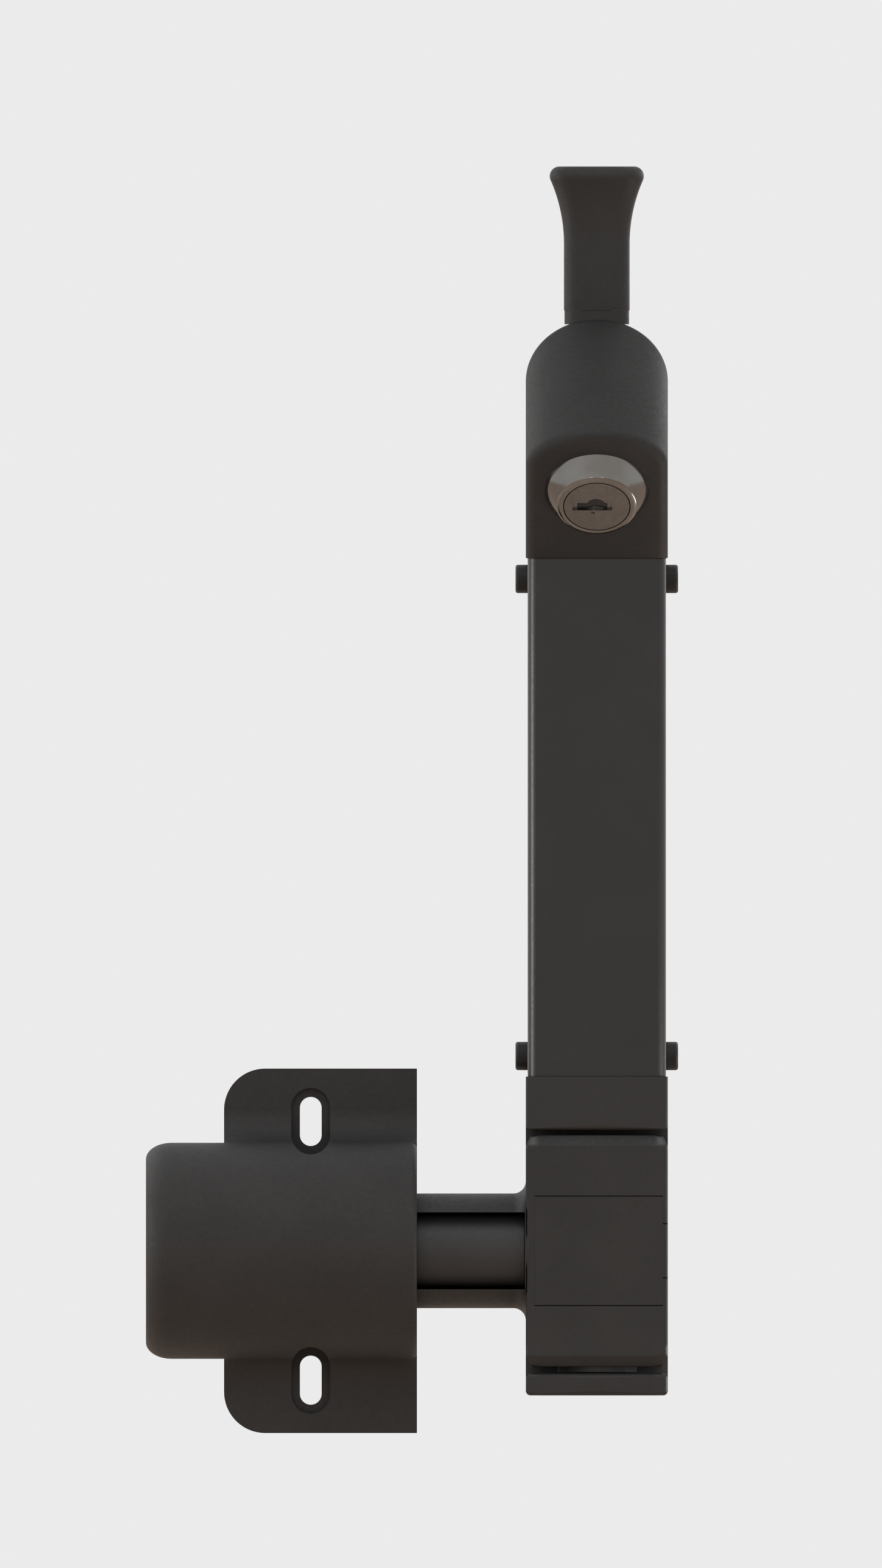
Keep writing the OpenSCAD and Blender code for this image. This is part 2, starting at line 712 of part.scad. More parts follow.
// One level of the knob: its outline grown by g, at the height z above the knob's bottom
function knob_ring(g, z) = let(
    hw = knob_w / 2 + g,
    hd = knob_d / 2 + g,
    c = min(shank_r + g / 2, hd - 0.5)
  ) [for (q = [0:3], j = [0:6]) let(a = 90 * q + 15 * j)
    [(hw - c) * (q == 0 || q == 3 ? 1 : -1) + c * cos(a), (hd - c) * (q < 2 ? 1 : -1) + c * sin(a), z]];

// The knob's flare is one arc that ends where the rounded rim begins
module knob_form() {
  rim_start = -24;
  rim_g = (rim_w - knob_w) / 2 - rim_r;
  flare_g = rim_g + rim_r * cos(rim_start);
  flare_h = knob_h - rim_r + rim_r * sin(rim_start) - shank_h;
  flare_arc = (flare_h * flare_h + flare_g * flare_g) / (2 * flare_g);
  levels = concat(
    [[0, 0]],
    [for (i = [0:7]) let(h = flare_h * i / 7) [flare_arc - sqrt(flare_arc * flare_arc - h * h), shank_h + h]],
    [for (i = [1:6]) let(a = rim_start + (90 - rim_start) * i / 6)
      [rim_g + rim_r * cos(a), knob_h - rim_r + rim_r * sin(a)]]
  );
  n = 28;
  last = len(levels) - 1;
  sides = [for (i = [0:last - 1], k = [0:n - 1]) let(a = i * n + k, b = i * n + (k + 1) % n)
    each [[a, b + n, b], [a, a + n, b + n]]];
  polyhedron([for (level = levels) each knob_ring(level[0], level[1])],
    concat([[for (k = [0:n - 1]) k]], sides, [[for (k = [n - 1:-1:0]) last * n + k]]));
}

module pull_knob() {
  color(coat) difference() {
    translate([0, rod_y, knob_bottom]) knob_form();
    translate([0, rod_y, knob_bottom - 1]) cylinder(r = rod_r + fit, h = knob_bore_h + 1);
    at_knob_screw() translate([0, 0, -knob_d / 2]) cylinder(r = screw_r + fit, h = knob_d);
  }
}

// The set screw's place on the back of the knob's shank, with Z out of it
module at_knob_screw() {
  translate([0, rod_y + knob_d / 2 - 0.4, knob_bottom + knob_bore_h / 2]) rotate([-90, 0, 0]) children();
}

module knob_screw() {
  color(dark_steel) at_knob_screw() set_screw(screw_r, knob_d / 2 - rod_r - 0.5);
}

module pull_rod() {
  color(steel) difference() {
    translate([0, rod_y, rod_bottom]) cylinder(r = rod_r, h = rod_top - rod_bottom);
    at_collar_pins() cylinder(r = pin_r + fit, h = big / 4, center = true);
  }
}

// The places of the pins through the two collars, with Z along the pins
module at_collar_pins() {
  for (z = [lock_collar_top - lock_collar_h / 2, spring_collar_top - spring_collar_h / 2])
    translate([0, rod_y, z]) rotate([0, 90, 0]) children();
}

// A collar on the pull rod, drilled for its pin
module rod_collar(top, h) {
  color(steel) difference() {
    translate([0, rod_y, top - h]) cylinder(r = collar_r, h = h);
    translate([0, rod_y, top - h - 1]) cylinder(r = rod_r + fit, h = h + 2);
    at_collar_pins() cylinder(r = pin_r + fit, h = big / 4, center = true);
  }
}

module lock_collar() { rod_collar(lock_collar_top, lock_collar_h); }

module spring_collar() { rod_collar(spring_collar_top, spring_collar_h); }

module collar_pins() {
  color(dark_steel) at_collar_pins() cylinder(r = pin_r, h = 2 * collar_r - 1, center = true);
}

// The cup that holds the magnet, open below, with the rod screwed into its top
module magnet_carrier() {
  color(plastic) translate([0, rod_y, carrier_bottom]) difference() {
    cylinder(r = carrier_r, h = carrier_h);
    translate([0, 0, -1]) cylinder(r = magnet_r + 1 + fit, h = magnet_cover_h + 1);
    translate([0, 0, -1]) cylinder(r = magnet_r + fit, h = magnet_cover_h + magnet_len + 1);
    translate([0, 0, carrier_h - rod_thread_h - 0.5]) cylinder(r = rod_r + fit, h = rod_thread_h + 1);
  }
}

module latch_magnet() {
  color(chrome) translate([0, rod_y, carrier_bottom + magnet_cover_h])
    cylinder(r = magnet_r, h = magnet_len - fit);
}

module magnet_cover() {
  color(steel) translate([0, rod_y, carrier_bottom]) cylinder(r = magnet_r + 1, h = magnet_cover_h - fit);
}

// The spring that pushes the rod down when the knob is let go
module return_spring() {
  color(steel) translate([0, rod_y, 0])
    coil(return_r, return_wire, return_bottom, return_top, 11, "return spring");
}

// The key slot, w wide and h high, which bends up in an arch at its middle
module key_outline(w, h) {
  rise = 0.54 * h;
  crown_r = w / 3;
  belly_r = w / 2;
  difference() {
    union() {
      translate([-key_off - w / 2, -h / 2]) square([w, h]);
      translate([-arch_off, h / 2 + rise - crown_r]) circle(r = crown_r);
    }
    translate([-arch_off, rise / 2 - h / 2 - belly_r]) circle(r = belly_r);
  }
}

module lock_plug() {
  color(chrome) at_lock() difference() {
    union() {
      translate([0, 0, dome_h - 3.1]) cylinder(r = plug_face_r, h = 3.1);
      translate([0, 0, -barrel_len - 0.3]) cylinder(r = core_r, h = barrel_len + dome_h - 2);
      translate([-cam_tail / 2, -cam_tail / 2, cam_inner_z + 0.2]) cube([cam_tail, cam_tail, cam_t + 1]);
    }
    translate([-key_off, 0, dome_h - 0.7]) linear_extrude(2) square([key_w + 2.6, key_h], center = true);
    translate([-arch_off, 0, dome_h - 0.3]) linear_extrude(2)
      polygon([[-key_h / 8, -key_h / 4], [-key_h / 2, -0.8 * key_h], [-key_h / 8, -key_h]]);
    translate([0, 0, dome_h - 15]) linear_extrude(20) key_outline(key_w, key_h);
    translate([0, 0, cam_inner_z - 1]) cylinder(r = screw_r - 0.3, h = 9);
  }
}

// The lever that swings over the lock collar and stops the rod from rising
module lock_cam() {
  tip_r = cam_w / 2;
  hub_r = 7;
  color(steel) at_lock() translate([0, 0, cam_inner_z]) difference() {
    union() {
      cylinder(r = hub_r, h = cam_t);
      translate([0, -tip_r, 0]) cube([cam_len - 1, cam_w, cam_t]);
      intersection() {
        translate([cam_len - tip_r, 0, 0]) cylinder(r = tip_r, h = cam_t);
        translate([0, -tip_r, 0]) cube([cam_len, cam_w, cam_t]);
      }
    }
    translate([-cam_tail / 2 - fit, -cam_tail / 2 - fit, -1])
      cube([cam_tail + 2 * fit, cam_tail + 2 * fit, cam_t + 2]);
  }
}

module cam_screw() {
  color(steel) at_lock() translate([0, 0, cam_inner_z - 0.1]) rotate([180, 0, 0])
    pan_screw(screw_r - 0.35, 6, 5, pan_small_h);
}

// The section of the arm: round in front and flat at the back
module arm_section(extra) {
  intersection() {
    translate([arm_y, head_z]) circle(r = arm_r + extra);
    translate([arm_y - 2 * arm_r, head_z - 2 * arm_r])
      square([head_back + extra - arm_y + 2 * arm_r, 4 * arm_r]);
  }
}

// The fillet sections between the flanges and the housing, for one side
module root_fillets(s) {
  touch = housing_r / (housing_r + root_fillet);
  touch_y = -housing_y + (fillet_y + housing_y) * touch;
  difference() {
    polygon([[0, 0], [0, s * fillet_z], [-flange_t, s * fillet_z], [touch_y, s * fillet_z * touch],
      [touch_y, 0]]);
    translate([fillet_y, s * fillet_z]) circle(r = root_fillet);
  }
}

// Points of the housing's side line, from the axis over its eased ends, as radius and X
function side_line(r) = concat(
    [[0, housing_left]],
    [for (a = [180:-10:90]) [r - end_round_z * (1 - sin(a)), housing_left + end_round_x * (1 + cos(a))]],
    [for (a = [90:-30:0]) [r - end_ease * (1 - sin(a)), bracket_right - end_ease * (1 - cos(a))]],
    [[0, bracket_right]]
  );

// The clamp screws' places behind the arm, with Z out to the gate
module at_clamp_screws() {
  for (x = [bracket_right - end_web / 2, guide_x])
    translate([x, -clamp_in, head_z]) rotate([-90, 0, 0]) children();
}

// The housing's half-round section, from its front back to y = -back
module housing_section(r, back) {
  intersection() {
    union() {
      translate([-housing_y, 0]) circle(r = r, $fn = 128);
      translate([-housing_y, -r]) square([2 * housing_y, 2 * r]);
    }
    translate([-big, -big]) square([big - back, 2 * big]);
  }
}

// The flanges with their root fillets, as a section across the bracket
module flange_section() {
  difference() {
    union() {
      translate([-flange_t, -flange_span / 2]) square([flange_t, flange_span]);
      root_fillets(1);
      root_fillets(-1);
    }
    housing_section(cavity_r + 1, -1);
  }
}

// The hollow housing, turned in front, straight at the gate and open at the back
module housing_shell() {
  line = side_line(housing_r);
  difference() {
    union() {
      intersection() {
        translate([0, -housing_y, head_z]) rotate([0, 90, 0]) rotate_extrude($fn = 128) polygon(line);
        translate([-big, -big - housing_y, -big]) cube([2 * big, big, 2 * big]);
      }
      for (s = [-1, 1]) along_y(-housing_y, 0)
        polygon([for (p = line) [p[1], head_z + s * p[0]]]);
    }
    translate([0, 0, head_z]) along_x(housing_left + housing_wall, bracket_right - end_web)
      housing_section(cavity_r, -1);
  }
}

module gate_bracket() {
  color(coat) difference() {
    union() {
      housing_shell();
      intersection() {
        translate([0, 0, head_z]) along_x(flange_left, bracket_right) flange_section();
        along_y(-big / 4, 0) round_rect(flange_left, bracket_right + 2 * flange_r,
          head_z - flange_span / 2, head_z + flange_span / 2, flange_r);
      }
    }
    translate([0, 0, head_z]) for (s = [-1, 1])
      translate([bracket_right - slot_x, 0, s * slot_spacing / 2]) {
        along_y(-housing_y - housing_r, -flange_t + sink_depth)
          slot_outline(slot_w + 2 * sink_rim, slot_len + 2 * sink_rim);
        along_y(-flange_t - 1, 1) slot_outline(slot_w, slot_len);
      }
    along_x(housing_left + housing_wall, bracket_right + 1) arm_section(run);
    at_clamp_screws() translate([0, 0, -clamp_len - 1]) cylinder(r = clamp_r + fit, h = 2 * clamp_len);
  }
}

// The plate inside the housing that guides the arm's inner end
module guide_plate() {
  color(dark_steel) difference() {
    translate([0, 0, head_z]) along_x(guide_x - guide_t / 2, guide_x + guide_t / 2)
      housing_section(cavity_r - fit, 0.5);
    along_x(guide_x - guide_t, guide_x + guide_t) arm_section(run);
    at_clamp_screws() translate([0, 0, -clamp_len - 1]) cylinder(r = clamp_r + fit, h = 2 * clamp_len);
  }
}

// The two set screws behind the arm that clamp it
module clamp_screws() {
  color(dark_steel) at_clamp_screws() set_screw(clamp_r, clamp_len);
}

// The outer form of the striker head, with chamfered ends
module head_form() {
  difference() {
    intersection() {
      translate([0, 0, head_bottom]) linear_extrude(head_h)
        front_outline(block_w, head_back, block_front, edge_r);
      along_y(block_front - 1, head_back) head_outline();
    }
    translate([0, 0, head_top - chamfer_h]) front_chamfer();
    translate([0, 0, head_bottom + chamfer_h]) rotate([0, 180, 0]) front_chamfer();
  }
}

// The head's outline from the front, with its four corners cut off
module head_outline() {
  side = block_w / 2;
  polygon([
    [-side, head_bottom + chamfer_h], [chamfer_d - side, head_bottom], [side - chamfer_d, head_bottom],
    [side, head_bottom + chamfer_h], [side, head_top - chamfer_h], [side - chamfer_d, head_top],
    [chamfer_d - side, head_top], [-side, head_top - chamfer_h]
  ]);
}

// What the chamfer along the domed front takes off, above its lower edge at Z = 0
module front_chamfer() {
  slope = chamfer_d / chamfer_h;
  face_r = front_r(block_w);
  difference() {
    translate([-block_w, block_front - 1, -1]) cube([2 * block_w, chamfer_d + 4, chamfer_h + 2]);
    translate([0, block_front + face_r, -1])
      cylinder(r1 = face_r + slope, r2 = face_r - chamfer_d - slope, h = chamfer_h + 2, $fn = 1440);
  }
}

// The space of the front cover and its tongue, drawn in by the inset above and below and by the side inset
module cover_space(inset, side) {
  left = -block_w / 2 + cover_left + side;
  right = block_w / 2 - cover_right - side;
  translate([left, block_front - 1, head_z - cover_h / 2 + inset])
    cube([right - left, cover_t + 1, cover_h - 2 * inset]);
  translate([block_w / 2 - cover_t, block_front - 1, head_z - tongue_h / 2 + inset])
    cube([cover_t + 1, tongue_len - side, tongue_h - 2 * inset]);
  translate([0, block_front - 1, head_z - tongue_h / 2 + inset])
    cube([block_w / 2 + 1, cover_t + 1, tongue_h - 2 * inset]);
}

// The places of the four screws that hold the front cover, from the head's back
module at_cover_screws() {
  for (x = [-cover_screw_x, cover_screw_x], z = [-cover_screw_up, cover_screw_up])
    translate([x, head_back, head_z + z]) rotate([-90, 0, 0]) children();
}

// The striker's head and arm in one casting
module striker_casting() {
  color(coat) difference() {
    union() {
      head_form();
      along_x(arm_end, head_left + 1) arm_section(0);
      intersection() {
        translate([head_left, arm_y, head_z]) rotate([0, -90, 0]) rotate_extrude() difference() {
          square([arm_r + arm_fillet, arm_fillet]);
          translate([arm_r + arm_fillet, arm_fillet]) circle(r = arm_fillet);
        }
        translate([-big / 2, block_front, -big]) cube([big, head_back - block_front, 2 * big]);
      }
    }
    cover_space(0, 0);
    along_x(arm_end + arm_ring, slot_end) {
      translate([arm_core_y, head_z]) circle(d = slot_h);
      translate([arm_core_y - 2 * arm_r, head_z - slot_h / 2]) square([2 * arm_r, slot_h]);
    }
    along_x(arm_end - 1, slot_end) translate([arm_core_y, head_z]) circle(r = arm_core_r + fit);
    along_x(slot_end - 1, head_left + core_socket) translate([arm_core_y, head_z])
      circle(r = core_spigot_r + fit);
    translate([0, rod_y, head_bottom - 1]) cylinder(r = bolt_bore_r + fit, h = guide_top - head_bottom + 1);
    translate([0, rod_y, head_bottom]) cylinder(r = bolt_r + 0.5, h = head_h + 1);
    at_core_pin() cylinder(r = core_pin_r + fit, h = 2 * core_pin_len + 2, center = true);
    at_cover_screws() {
      translate([0, 0, -40]) cylinder(r = cover_screw_r + 0.1, h = 50);
      translate([0, 0, -cover_sink]) cylinder(r = 2 * cover_screw_r + 0.2, h = 10);
    }
  }
}

// The round core in the arm, whose end is turned down to sit in the head
module arm_core() {
  color(coat) difference() {
    union() {
      along_x(arm_end + 0.5, slot_end - rest) translate([arm_core_y, head_z]) circle(r = arm_core_r);
      along_x(head_left - 2, head_left + core_socket - 0.2)
        translate([arm_core_y, head_z]) circle(r = core_spigot_r);
    }
    at_core_pin() cylinder(r = core_pin_r + fit, h = 2 * core_pin_len + 2, center = true);
  }
}

// The place of the pin that holds the arm's core in the head
module at_core_pin() {
  translate([head_left + 4, head_back, head_z]) rotate([90, 0, 0]) children();
}

module core_pin() {
  color(dark_steel) at_core_pin() translate([0, 0, core_pin_in]) cylinder(r = core_pin_r, h = core_pin_len);
}

// The cover let into the head's front, with a tongue round its right side
module front_cover() {
  color(coat) difference() {
    intersection() {
      head_form();
      cover_space(seam, fit);
    }
    at_cover_screws() translate([0, 0, -cover_screw_len - 0.3]) cylinder(r = cover_screw_r + fit, h = 10);
  }
}

module cover_screws() {
  color(steel) at_cover_screws() translate([0, 0, 0.1 - cover_sink])
    pan_screw(cover_screw_r, cover_screw_len - cover_sink - 0.2, 2 * cover_screw_r - 0.2, 1.8);
}

// The bush that guides the latch bolt at the top of the head
module guide_bush() {
  color(brass) translate([0, rod_y, guide_bottom]) difference() {
    cylinder(r = bolt_bore_r, h = guide_h - fit);
    translate([0, 0, -1]) cylinder(r = bolt_r + run, h = guide_h + 2);
  }
}

// The plug that closes the bolt's bore from below
module bore_plug() {
  color(dark_steel) translate([0, rod_y, head_bottom]) difference() {
    union() {
      translate([0, 0, -plug_flange_h]) cylinder(r = plug_flange_r, h = plug_flange_h - fit);
      translate([0, 0, -plug_flange_h / 2]) cylinder(r = bolt_bore_r, h = plug_in_h + plug_flange_h / 2);
    }
    translate([-plug_in_h / 2, -1, -plug_flange_h - 1]) cube([plug_in_h, 2, 1.8]);
  }
}

// The weak spring that draws the bolt back into the head
module bolt_spring() {
  color(steel) translate([0, rod_y, 0])
    coil(bolt_spring_r, bolt_wire, bolt_spring_bottom, bolt_spring_top, 9, "bolt spring");
}

// The steel bolt that the magnet lifts
module latch_bolt() {
  color(steel) translate([0, rod_y, 0]) {
    translate([0, 0, bolt_bottom]) cylinder(r = bolt_bore_r - 0.4, h = bolt_collar_h);
    translate([0, 0, bolt_bottom]) cylinder(r = bolt_r, h = bolt_top - bolt_bottom - 0.8);
    translate([0, 0, bolt_top - 0.8]) cylinder(r1 = bolt_r, r2 = bolt_r - 0.8, h = 0.8);
  }
}

upper_bracket();
lower_bracket();
body_tube();
top_cap();
neck_bush();
lock_cylinder();
lock_nut();
keeper_block();
keeper_bush();
back_spine();
foot_plate();
side_screws();
web_screws();
spine_screws();
spring_washer();
pull_knob();
knob_screw();
pull_rod();
lock_collar();
spring_collar();
collar_pins();
magnet_carrier();
latch_magnet();
magnet_cover();
return_spring();
lock_plug();
lock_cam();
cam_screw();
gate_bracket();
guide_plate();
clamp_screws();
striker_casting();
arm_core();
core_pin();
front_cover();
cover_screws();
guide_bush();
bore_plug();
bolt_spring();
latch_bolt();
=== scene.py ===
import json
import math
import bmesh
import bpy
from mathutils import Matrix, Vector


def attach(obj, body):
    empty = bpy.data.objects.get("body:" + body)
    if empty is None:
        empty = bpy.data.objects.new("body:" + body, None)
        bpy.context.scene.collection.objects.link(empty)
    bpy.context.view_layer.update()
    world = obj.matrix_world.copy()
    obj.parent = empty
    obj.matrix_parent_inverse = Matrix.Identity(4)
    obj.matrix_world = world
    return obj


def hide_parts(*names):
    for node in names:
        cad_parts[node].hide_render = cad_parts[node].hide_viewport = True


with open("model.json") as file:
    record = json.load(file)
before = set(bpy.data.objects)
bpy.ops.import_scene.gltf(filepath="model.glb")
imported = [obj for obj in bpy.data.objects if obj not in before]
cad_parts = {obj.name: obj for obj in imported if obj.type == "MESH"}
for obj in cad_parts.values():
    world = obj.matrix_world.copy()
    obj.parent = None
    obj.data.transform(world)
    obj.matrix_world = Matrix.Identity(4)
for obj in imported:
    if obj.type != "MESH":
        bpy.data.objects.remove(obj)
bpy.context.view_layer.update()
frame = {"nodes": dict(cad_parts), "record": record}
nodes = frame["nodes"]

# One pixel of the photograph in metres, its size in pixels, the pixels of the body's axis and of the
# foot's underside, and the height of that underside in metres
PIXEL = 0.0001628
PHOTO_W, PHOTO_H = 1449, 2576
AXIS_X, FOOT_Y = 980.45, 2292
FOOT_Z = -0.1545

# The studio, in metres
CAMERA_DISTANCE, VIEW_DEPTH = 1.2, 20
BACKDROP_TONE = 235
SKY_COLOUR, SKY_STRENGTH = (0.84, 0.83, 0.83, 1), 0.95
FLOOR_HALF, FLOOR_Z = 3, -0.208
FLOOR_COLOUR, FLOOR_ROUGH = (0.66, 0.53, 0.44, 1), 0.8
SIDES = ((-1, "left"), (1, "right"))

# Sizes and places of the part that the pieces and the materials share, in millimetres
MM = 0.001
BLOCK_W, CROWN_H, CAP_TOP, CREST_Y = 38.0, 16.5, 133.2, -32.6
TUBE_TOP, BACK, ROD_Y = 69.3, -0.5, -24.4
LOCK_Y, LOCK_Z, LOCK_OUT, PLUG_R = -54.8898, 87.1898, 5.76, 8.9
ARM_Z = -114.8
BEAK = math.radians(39.6)
FACE = math.radians(45)


def photo_point(x, y):
    """The frame's X and Z of a pixel of the photograph."""
    return (x - AXIS_X) * PIXEL, (FOOT_Y - y) * PIXEL + FOOT_Z


def new_object(name, data):
    """An object of this data, in the scene."""
    obj = bpy.data.objects.new(name, data)
    bpy.context.scene.collection.objects.link(obj)
    return obj


# Camera: square on to the front, with no perspective, as the photograph shows none
cam_x, cam_z = photo_point(PHOTO_W / 2, PHOTO_H / 2)
camera = new_object("camera", bpy.data.cameras.new("camera"))
camera.data.type = "ORTHO"
camera.data.ortho_scale = PHOTO_H * PIXEL
camera.data.clip_end = VIEW_DEPTH
camera.location = (cam_x, -CAMERA_DISTANCE, cam_z)
camera.rotation_euler = (math.pi / 2, 0, 0)
bpy.context.scene.camera = camera
bpy.context.scene.view_settings.view_transform = "Standard"


# World
def grey(tone):
    """The linear colour of an 8-bit sRGB grey."""
    share = tone / 255
    linear = share / 12.92 if share <= 0.04045 else ((share + 0.055) / 1.055) ** 2.4
    return linear, linear, linear, 1.0


def studio_world():
    """A pale backdrop for camera, glossy and transmission rays, and a softer light for the rest."""
    world = bpy.data.worlds.new("studio")
    world.use_nodes = True
    tree = world.node_tree
    tree.nodes.clear()
    backdrop = tree.nodes.new("ShaderNodeBackground")
    backdrop.inputs["Color"].default_value = grey(BACKDROP_TONE)
    sky = tree.nodes.new("ShaderNodeBackground")
    sky.inputs["Color"].default_value = SKY_COLOUR
    sky.inputs["Strength"].default_value = SKY_STRENGTH
    path = tree.nodes.new("ShaderNodeLightPath")
    shows_backdrop = path.outputs["Is Camera Ray"]
    for ray in ("Is Glossy Ray", "Is Transmission Ray"):
        either = tree.nodes.new("ShaderNodeMath")
        either.operation = "MAXIMUM"
        tree.links.new(shows_backdrop, either.inputs[0])
        tree.links.new(path.outputs[ray], either.inputs[1])
        shows_backdrop = either.outputs[0]
    mix = tree.nodes.new("ShaderNodeMixShader")
    out = tree.nodes.new("ShaderNodeOutputWorld")
    tree.links.new(shows_backdrop, mix.inputs["Fac"])
    tree.links.new(sky.outputs[0], mix.inputs[1])
    tree.links.new(backdrop.outputs[0], mix.inputs[2])
    tree.links.new(mix.outputs[0], out.inputs["Surface"])
    return world


bpy.context.scene.world = studio_world()


# Lamps: large ones behind, beside and above the part, and small ones for its corners and its lock
def lamp(name, size, energy, place, target):
    """A soft rectangular lamp that looks at the target, and that the camera doesn't see."""
    data = bpy.data.lights.new(name, "AREA")
    data.shape = "RECTANGLE"
    data.size, data.size_y = size
    data.energy = energy
    obj = new_object(name, data)
    obj.location = place
    obj.rotation_euler = (Vector(target) - Vector(place)).to_track_quat("-Z", "Y").to_euler()
    obj.visible_camera = False
    return obj


lamp("rim_lamp", size=(0.16, 0.2), energy=0.38, place=(0.34, 0.5, 0.21), target=(0.01, -0.05, 0.1))
lamp("right_lamp", size=(0.12, 0.08), energy=0.22, place=(0.24, -0.05, -0.13), target=(0.019, -0.04, -0.13))
left_softbox = lamp("left_softbox", size=(0.26, 0.17), energy=0.9, place=(-0.7, -0.1, 0.0),
                    target=(0, -0.02, 0.0))
lamp("knob_lamp", size=(0.12, 0.05), energy=0.07, place=(-0.4, 0.35, 0.146), target=(0, -0.03, 0.146))
lamp("top_softbox", size=(0.5, 0.3), energy=0.7, place=(0.0, -0.6, 0.85), target=(0, -0.02, 0.0))
corner_energy = {"left": 0.12, "right": 0.2}
for side, hand in SIDES:
    lamp("corner_lamp_" + hand, size=(0.06, 0.06), energy=corner_energy[hand],
         place=(side * 0.445, 0.225, 0.33), target=(side * 0.018, -0.04, -0.09))
for side, hand in SIDES:
    lamp("front_lamp_" + hand, size=(0.05, 0.05), energy=0.05,
         place=(side * 0.2, -1.1, 0.12), target=(0, -0.04, 0.08))


# Materials: what they are made of, with the values of the noise between which each wanders
COLOUR_STOPS, ROUGH_STOPS = (0.35, 0.65), (0.3, 0.7)


def principled(name, rough=0.5, metallic=0.0):
    """A material with a Principled shader."""
    mat = bpy.data.materials.new(name)
    mat.use_nodes = True
    shader_of(mat).inputs["Roughness"].default_value = rough
    shader_of(mat).inputs["Metallic"].default_value = metallic
    return mat


def shader_of(mat):
    """The material's Principled shader."""
    return mat.node_tree.nodes["Principled BSDF"]


def noise_in(mat, scale, detail):
    """Noise over the part as it is at rest."""
    tree = mat.node_tree
    coord = tree.nodes.new("ShaderNodeTexCoord")
    noise = tree.nodes.new("ShaderNodeTexNoise")
    noise.inputs["Scale"].default_value = scale
    noise.inputs["Detail"].default_value = detail
    tree.links.new(coord.outputs["Object"], noise.inputs["Vector"])
    return noise.outputs["Fac"]


def wander_colour(mat, first, second, scale):
    """Base colour that wanders between two colours. The input keeps the first for a viewer without nodes."""
    tree = mat.node_tree
    socket = shader_of(mat).inputs["Base Color"]
    socket.default_value = first
    ramp = tree.nodes.new("ShaderNodeValToRGB")
    for stop, position, colour in zip(ramp.color_ramp.elements, COLOUR_STOPS, (first, second)):
        stop.position = position
        stop.color = colour
    tree.links.new(noise_in(mat, scale, detail=3.0), ramp.inputs["Fac"])
    tree.links.new(ramp.outputs["Color"], socket)


def wander_rough(mat, low, high, scale):
    """Roughness that wanders between two values. The input keeps their middle for a viewer without nodes."""
    tree = mat.node_tree
    socket = shader_of(mat).inputs["Roughness"]
    socket.default_value = (low + high) / 2
    span = tree.nodes.new("ShaderNodeMapRange")
    span.inputs["From Min"].default_value = ROUGH_STOPS[0]
    span.inputs["From Max"].default_value = ROUGH_STOPS[1]
    span.inputs["To Min"].default_value = low
    span.inputs["To Max"].default_value = high
    tree.links.new(noise_in(mat, scale, detail=4.0), span.inputs["Value"])
    tree.links.new(span.outputs["Result"], socket)


def grain(mat, scale, strength, height):
    """Fine bump from noise."""
    tree = mat.node_tree
    bump = tree.nodes.new("ShaderNodeBump")
    bump.inputs["Strength"].default_value = strength
    bump.inputs["Distance"].default_value = height
    tree.links.new(noise_in(mat, scale, detail=2.0), bump.inputs["Height"])
    tree.links.new(bump.outputs["Normal"], shader_of(mat).inputs["Normal"])
    return bump


def ease_edges(mat, bump, radius):
    """Softens the edges as they catch the light, under the material's own bump."""
    bevel = mat.node_tree.nodes.new("ShaderNodeBevel")
    bevel.samples = 6
    bevel.inputs["Radius"].default_value = radius
    mat.node_tree.links.new(bevel.outputs["Normal"], bump.inputs["Normal"])


def math_of(mat, operation, *values):
    """A Math node on sockets and plain numbers."""
    node = mat.node_tree.nodes.new("ShaderNodeMath")
    node.operation = operation
    for socket, value in zip(node.inputs, values):
        if isinstance(value, bpy.types.NodeSocket):
            mat.node_tree.links.new(value, socket)
        else:
            socket.default_value = value
    return node.outputs[0]


def vector_of(mat, operation, first, second=None):
    """A Vector Math node on a socket and a plain vector."""
    node = mat.node_tree.nodes.new("ShaderNodeVectorMath")
    node.operation = operation
    mat.node_tree.links.new(first, node.inputs[0])
    if second:
        node.inputs[1].default_value = second
    return node.outputs["Value" if operation == "LENGTH" else "Vector"]


def away_from(mat, source, middle):
    """How far a number is from another, either way."""
    return math_of(mat, "ABSOLUTE", math_of(mat, "SUBTRACT", source, middle))


def ramp_mask(mat, source, start, full):
    """0 where the source is at start, 1 where it is at full, and a soft step between."""
    node = mat.node_tree.nodes.new("ShaderNodeMapRange")
    node.interpolation_type = "SMOOTHSTEP"
    node.inputs["From Min"].default_value = start
    node.inputs["From Max"].default_value = full
    mat.node_tree.links.new(source, node.inputs["Value"])
    return node.outputs["Result"]


# For each kind of socket, a Mix node's kind, and where its first value and its result are
MIX_KINDS = {"VALUE": ("FLOAT", 2, 0), "RGBA": ("RGBA", 6, 2)}


def masked(mat, target, mask, inside):
    """Gives a linked input of the shader another value where the mask is 1."""
    tree = mat.node_tree
    socket = shader_of(mat).inputs[target]
    kind, first, result = MIX_KINDS[socket.type]
    blend = tree.nodes.new("ShaderNodeMix")
    blend.data_type = kind
    tree.links.new(socket.links[0].from_socket, blend.inputs[first])
    blend.inputs[first + 1].default_value = inside
    tree.links.new(mask, blend.inputs[0])
    tree.links.new(blend.outputs[result], socket)


def place_of(mat):
    """The point's X, Y and Z on the part at rest, in metres."""
    tree = mat.node_tree
    coord = tree.nodes.new("ShaderNodeTexCoord")
    parts = tree.nodes.new("ShaderNodeSeparateXYZ")
    tree.links.new(coord.outputs["Object"], parts.inputs[0])
    return parts.outputs


